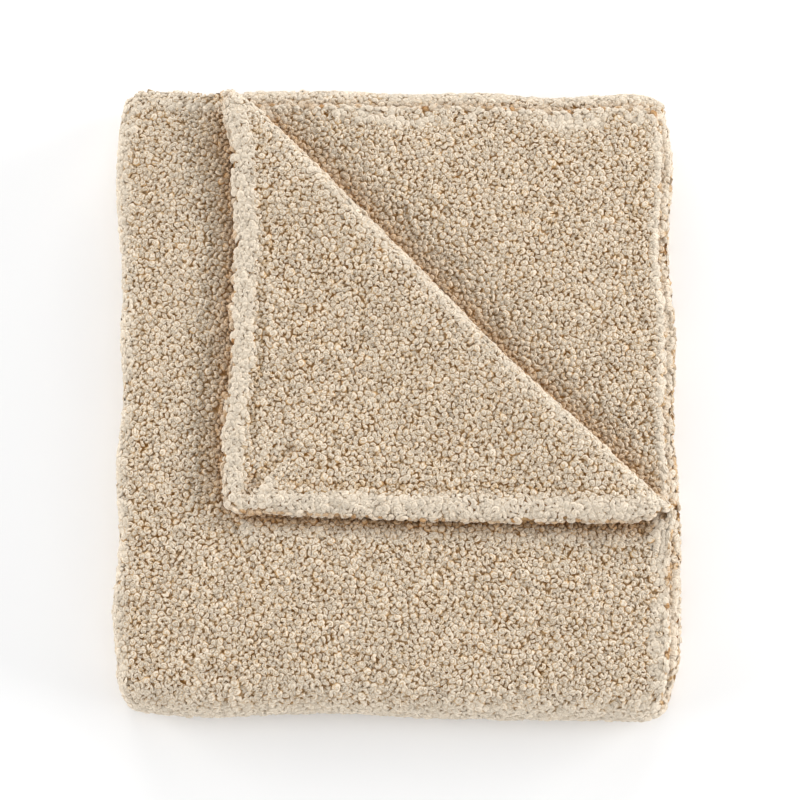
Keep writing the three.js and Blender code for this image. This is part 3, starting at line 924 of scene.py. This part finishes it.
def pile_piece(name, curls, material, rng):
    """One object of all the curls of a region."""
    total = len(curls["place"])
    kinds = rng.choice(list(MIX), size=total, p=list(MIX.values()))
    kinds[curls["closed"]] = "ball"
    if name == "under":
        kinds = np.full(total, "flat")
    parts = []
    points_before, curls_before = 0, 0
    for kind in sorted(set(kinds.tolist())):
        chosen = {key: values[kinds == kind] for key, values in curls.items()}
        points, faces, marks = curls_of(kind, chosen, rng)
        count, per_curl = points.shape[:2]
        cells = np.repeat(curls_before + np.arange(count), per_curl)
        firsts = points_before + np.arange(count)[:, None] * per_curl
        parts.append({
            "points": points.reshape(-1, 3),
            "loops": (firsts + np.concatenate(faces)).reshape(-1),
            "sizes": np.tile([len(face) for face in faces], count),
            "map": in_cells(cells, total, np.tile(MAPS[kind], (count, 1))),
            **marks,
        })
        points_before += count * per_curl
        curls_before += count
    piece = bpy.data.objects.new(f"pile_{name}", joined_mesh(f"pile_{name}", parts, material))
    bpy.context.scene.collection.objects.link(piece)
    return piece


# Materials

CREAM = (0.77, 0.688, 0.574)
# Tan and brown stand for painted shade low between the curls; cream is the yarn's own colour
PAINTED_SHADE_TAN = (0.65, 0.465, 0.25)
PAINTED_SHADE_BROWN = (0.35, 0.175, 0.05)
PAINTED_HOLLOW_SHADE = (0.69, 0.48, 0.27)  # by which the colour is multiplied in the narrowest places, as painted shade
WHITE = (1, 1, 1)

YARN = {"Roughness": 0.9, "Specular IOR Level": 0.2, "Sheen Roughness": 0.5, "Sheen Tint": (1, 0.9, 0.77)}
SHEEN = (0.5, 1.0)  # of crisp yarn and of soft yarn
YARN_COLOURS_WITH_PAINTED_SHADE = ((0.1, PAINTED_SHADE_BROWN), (0.5, PAINTED_SHADE_TAN), (0.87, CREAM))  # by the height on a curl: painted shade in brown and tan low between the curls, cream on top
PAINTED_SHADE_BY_OPENNESS = ((0.45, PAINTED_HOLLOW_SHADE), (0.92, WHITE))  # by the share of rays that leave freely: painted shade where few do
TONES = (0.9, 1.08)  # of the darkest and the lightest curl
CLUMP_SCALE = 95
CLUMPS = 0.2  # how much clumps of curls differ in how high their tan flanks of painted shade reach
SWIRL_TURNS = 1.6  # of the yarn in a curl, from its middle out
SWIRL_LINE = 0.24  # of the yarn's width, the soft dark line between two turns
SWIRL_SHADE = (0.78, 0.6, 0.39)
SWIRL_WANDER = 1.3
WANDER_SCALE = 380
SOFT_LINES = 0.75  # how much weaker the lines are where the yarn is soft
FIBRES = 4.3  # for each turn of the yarn
FIBRE_SHADE = (0.9, 0.84, 0.76)
FIBRE_RISE = 0.2  # against the rise between two lines
YARN_BUMP = 0.45 * MM

SHORT_YARN = {"Roughness": 1.0, "Specular IOR Level": 0.1}
SHORT_YARN_SCALE = 230  # cells of short yarn between the curls
SHORT_YARN_BUMP = 2 * MM
SHORT_YARN_PAINTED_SHADE_COLOURS = ((0.1, (0.6, 0.43, 0.25)), (0.8, PAINTED_SHADE_BROWN))  # from the middle of a cell to its cracks, brown as painted shade between the curls
# Painted light for the short yarn on hems and near the outline
PAINTED_RIM_LIGHT_COLOURS = ((0.1, (0.72, 0.6, 0.44)), (0.8, (0.5, 0.33, 0.17)))


class Nodes:
    """A material's node tree, with short ways to add and join nodes."""

    def __init__(self, name, settings):
        self.material = bpy.data.materials.new(name)
        self.material.use_nodes = True
        self.tree = self.material.node_tree
        self.shader = self.tree.nodes["Principled BSDF"]
        for socket, value in settings.items():
            self.feed(self.shader.inputs[socket], value)

    def add(self, kind, **settings):
        node = self.tree.nodes.new(f"ShaderNode{kind}")
        for key, value in settings.items():
            setattr(node, key, value)
        return node

    def feed(self, entry, value):
        """Joins an output to a socket, or sets a plain number or colour on it."""
        if isinstance(value, bpy.types.NodeSocket):
            self.tree.links.new(value, entry)
        else:
            entry.default_value = (*value, 1) if isinstance(value, tuple) else value

    def math(self, operation, *values):
        """The result of a sum on outputs and plain numbers."""
        node = self.add("Math", operation=operation)
        for entry, value in zip(node.inputs, values):
            self.feed(entry, value)
        return node.outputs["Value"]

    def attribute(self, name, output="Fac"):
        return self.add("Attribute", attribute_name=name).outputs[output]

    def noise(self, scale, detail):
        node = self.add("TexNoise")
        node.inputs["Scale"].default_value = scale
        node.inputs["Detail"].default_value = detail
        self.feed(node.inputs["Vector"], self.add("TexCoord").outputs["Object"])
        return node.outputs["Fac"]

    def ramp(self, value, stops):
        """Colours over a value, at the stops given."""
        node = self.add("ValToRGB")
        elements = node.color_ramp.elements
        while len(elements) < len(stops):
            elements.new(0.5)
        for element, (position, colour) in zip(elements, stops):
            element.position = position
            element.color = (*colour, 1)
        self.feed(node.inputs["Fac"], value)
        return node.outputs["Color"]

    def mixed(self, share, a, b, blend="MIX"):
        """Colour a, mixed with b or multiplied by it as far as the share goes."""
        node = self.add("Mix", data_type="RGBA", blend_type=blend)
        for entry, value in (("Factor", share), ("A", a), ("B", b)):
            self.feed(node.inputs[entry], value)
        return node.outputs["Result"]

    def bump(self, height, distance):
        node = self.add("Bump")
        node.inputs["Distance"].default_value = distance
        self.feed(node.inputs["Height"], height)
        self.feed(self.shader.inputs["Normal"], node.outputs["Normal"])


def wound_yarn(nodes):
    """How high the turns of yarn stand in a curl, 0 on the line between two, and the fibres on them."""
    split = nodes.add("SeparateXYZ")
    nodes.feed(split.inputs["Vector"], nodes.attribute("swirl", "Vector"))
    x, y, phase = (split.outputs[axis] for axis in "XYZ")
    out = nodes.math("SQRT", nodes.math("ADD", nodes.math("MULTIPLY", x, x), nodes.math("MULTIPLY", y, y)))
    turn = nodes.math("DIVIDE", nodes.math("ARCTAN2", y, x), 2 * math.pi)
    wander = nodes.math("MULTIPLY", nodes.noise(WANDER_SCALE, 1), SWIRL_WANDER)
    wound = nodes.math("ADD", nodes.math("MULTIPLY", out, SWIRL_TURNS), nodes.math("ADD", turn, phase))
    wound = nodes.math("ADD", wound, wander)
    fibres = nodes.math("MULTIPLY", nodes.math("PINGPONG", nodes.math("MULTIPLY", wound, FIBRES), 0.5), 2)
    raised = nodes.add("MapRange", interpolation_type="SMOOTHSTEP")
    raised.inputs["From Max"].default_value = SWIRL_LINE
    nodes.feed(raised.inputs["Value"], nodes.math("PINGPONG", wound, 0.5))
    return raised.outputs["Result"], fibres


def flank_colour_with_painted_shade(nodes):
    """Cream on top of the curls and painted shade in brown low between them, each curl in its own tone."""
    clumps = nodes.math("SUBTRACT", nodes.noise(CLUMP_SCALE, 0), 0.5)
    height = nodes.math("ADD", nodes.attribute("height"), nodes.math("MULTIPLY", clumps, CLUMPS))
    tone = nodes.add("MapRange")
    tone.inputs["To Min"].default_value, tone.inputs["To Max"].default_value = TONES
    nodes.feed(tone.inputs["Value"], nodes.attribute("tone"))
    shade = nodes.add("HueSaturation")
    nodes.feed(shade.inputs["Value"], tone.outputs["Result"])
    nodes.feed(shade.inputs["Color"], nodes.ramp(height, YARN_COLOURS_WITH_PAINTED_SHADE))
    return shade.outputs["Color"]


def yarn_material(name):
    """Cream yarn wound round in each curl, with fine fibres, painted shade low and in hollows, and softer
    on hems and rims.
    """
    nodes = Nodes(name, YARN)
    soft = nodes.attribute("soft")
    sheen = nodes.math("MULTIPLY_ADD", soft, SHEEN[1] - SHEEN[0], SHEEN[0])
    nodes.feed(nodes.shader.inputs["Sheen Weight"], sheen)

    raised, fibres = wound_yarn(nodes)
    crisp = nodes.math("SUBTRACT", 1, nodes.math("MULTIPLY", soft, SOFT_LINES))
    lines = nodes.math("MULTIPLY", nodes.math("SUBTRACT", 1, raised), crisp)
    between_fibres = nodes.math("SUBTRACT", 1, fibres)
    colour = nodes.mixed(between_fibres, flank_colour_with_painted_shade(nodes), FIBRE_SHADE, "MULTIPLY")
    colour = nodes.mixed(lines, colour, SWIRL_SHADE, "MULTIPLY")
    # Painted shade where few rays leave freely, less of it where the yarn is soft
    colour = nodes.mixed(crisp, colour, nodes.ramp(nodes.attribute("open"), PAINTED_SHADE_BY_OPENNESS), "MULTIPLY")
    nodes.feed(nodes.shader.inputs["Base Color"], colour)
    nodes.bump(nodes.math("ADD", raised, nodes.math("MULTIPLY", fibres, FIBRE_RISE)), YARN_BUMP)
    return nodes.material


def short_yarn_material(name):
    """The short yarn between the roots of the curls, in brown painted shade that deepens in its cracks,
    with painted light on hems and rims.
    """
    nodes = Nodes(name, SHORT_YARN)
    cells = nodes.add("TexVoronoi", feature="F1")
    cells.inputs["Scale"].default_value = SHORT_YARN_SCALE
    nodes.feed(cells.inputs["Vector"], nodes.add("TexCoord").outputs["Object"])
    distance = cells.outputs["Distance"]
    painted_shade_ramp, painted_light_ramp = (nodes.ramp(distance, stops) for stops in (SHORT_YARN_PAINTED_SHADE_COLOURS, PAINTED_RIM_LIGHT_COLOURS))
    # Painted light on hems and near the outline, over the painted shade of the short yarn
    nodes.feed(nodes.shader.inputs["Base Color"], nodes.mixed(nodes.attribute("pale"), painted_shade_ramp, painted_light_ramp))
    nodes.bump(nodes.math("SUBTRACT", 1, distance), SHORT_YARN_BUMP)
    return nodes.material


# The stage

FLOOR = {"Base Color": (0.93, 0.93, 0.93), "Roughness": 0.9, "Specular IOR Level": 0}
FLOOR_SIZE = 14.0
WORLD_LIGHT = 0.3
SOFTBOXES = {
    "left": {"at": (-3.2, 0.15, 1.0), "size": (3.4, 0.85), "power": 100},
    "right": {"at": (3.2, 0.15, 1.0), "size": (3.4, 0.85), "power": 127},
    "far": {"at": (0, 3.3, 1.25), "size": (3.6, 0.85), "power": 84},
    "near": {"at": (0, -3.3, 1.1), "size": (3.6, 1.0), "power": 39},
    "above": {"at": (0, 0.15, 3.6), "size": (2.6, 2.6), "power": 21},
}


def add_stage():
    """A pale floor, the soft boxes and a plain white surround."""
    bpy.ops.mesh.primitive_plane_add(size=FLOOR_SIZE, location=(0, 0, 0))
    floor = bpy.context.object
    floor.name = "floor"
    floor.data.materials.append(Nodes("floor_white", FLOOR).material)
    for name, box in SOFTBOXES.items():
        light = bpy.data.lights.new(f"softbox_{name}", "AREA")
        light.shape = "RECTANGLE"
        light.size, light.size_y = box["size"]
        light.energy = box["power"]
        lamp = bpy.data.objects.new(light.name, light)
        lamp.location = box["at"]
        lamp.rotation_euler = (-lamp.location).to_track_quat("-Z", "Y").to_euler()
        bpy.context.scene.collection.objects.link(lamp)
    world = bpy.data.worlds.new("surround")
    bpy.context.scene.world = world
    world.use_nodes = True
    surround = world.node_tree.nodes["Background"]
    surround.inputs["Color"].default_value = (*WHITE, 1)
    surround.inputs["Strength"].default_value = WORLD_LIGHT


def add_camera():
    """The camera at the photograph's viewing angle."""
    camera = bpy.data.cameras.new("camera")
    camera.sensor_width = SENSOR
    camera.lens = FOCAL_PX / PHOTO_SIZE * SENSOR
    camera.shift_x = (PHOTO_SIZE / 2 - AIM_PX[0]) / PHOTO_SIZE
    camera.shift_y = (AIM_PX[1] - PHOTO_SIZE / 2) / PHOTO_SIZE
    holder = bpy.data.objects.new("camera", camera)
    bpy.context.scene.collection.objects.link(holder)
    back = Vector((0, -math.cos(ELEVATION), math.sin(ELEVATION)))
    holder.location = AIM + back * DISTANCE
    holder.rotation_euler = (-back).to_track_quat("-Z", "Y").to_euler()
    bpy.context.scene.camera = holder


def add_cloth():
    """The cloth under the pile, in place of the solid."""
    mesh = cloth_mesh(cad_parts["throw"])
    mesh.materials.append(short_yarn_material("teddy_backing"))
    map_faces(mesh)
    mark_painted_rim_light(mesh)
    cloth = bpy.data.objects.new("throw_cloth", mesh)
    bpy.context.scene.collection.objects.link(cloth)
    return cloth


def add_pile(cloth):
    """The curls on the cloth, as one piece for each region."""
    rng = np.random.default_rng(SEED)
    curls = scatter(Surface(cloth.data), rng)
    region = regions_of(curls["place"], curls["normal"])
    yarn = yarn_material("teddy_yarn")
    return [
        pile_piece(name, {key: values[region == name] for key, values in curls.items()}, yarn, rng)
        for name in REGIONS
    ]


bpy.context.scene.view_settings.view_transform = "Standard"
add_camera()
add_stage()
cloth = add_cloth()
pile = add_pile(cloth)
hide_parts("throw")
for piece in [cloth, *pile]:
    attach(piece, "root")
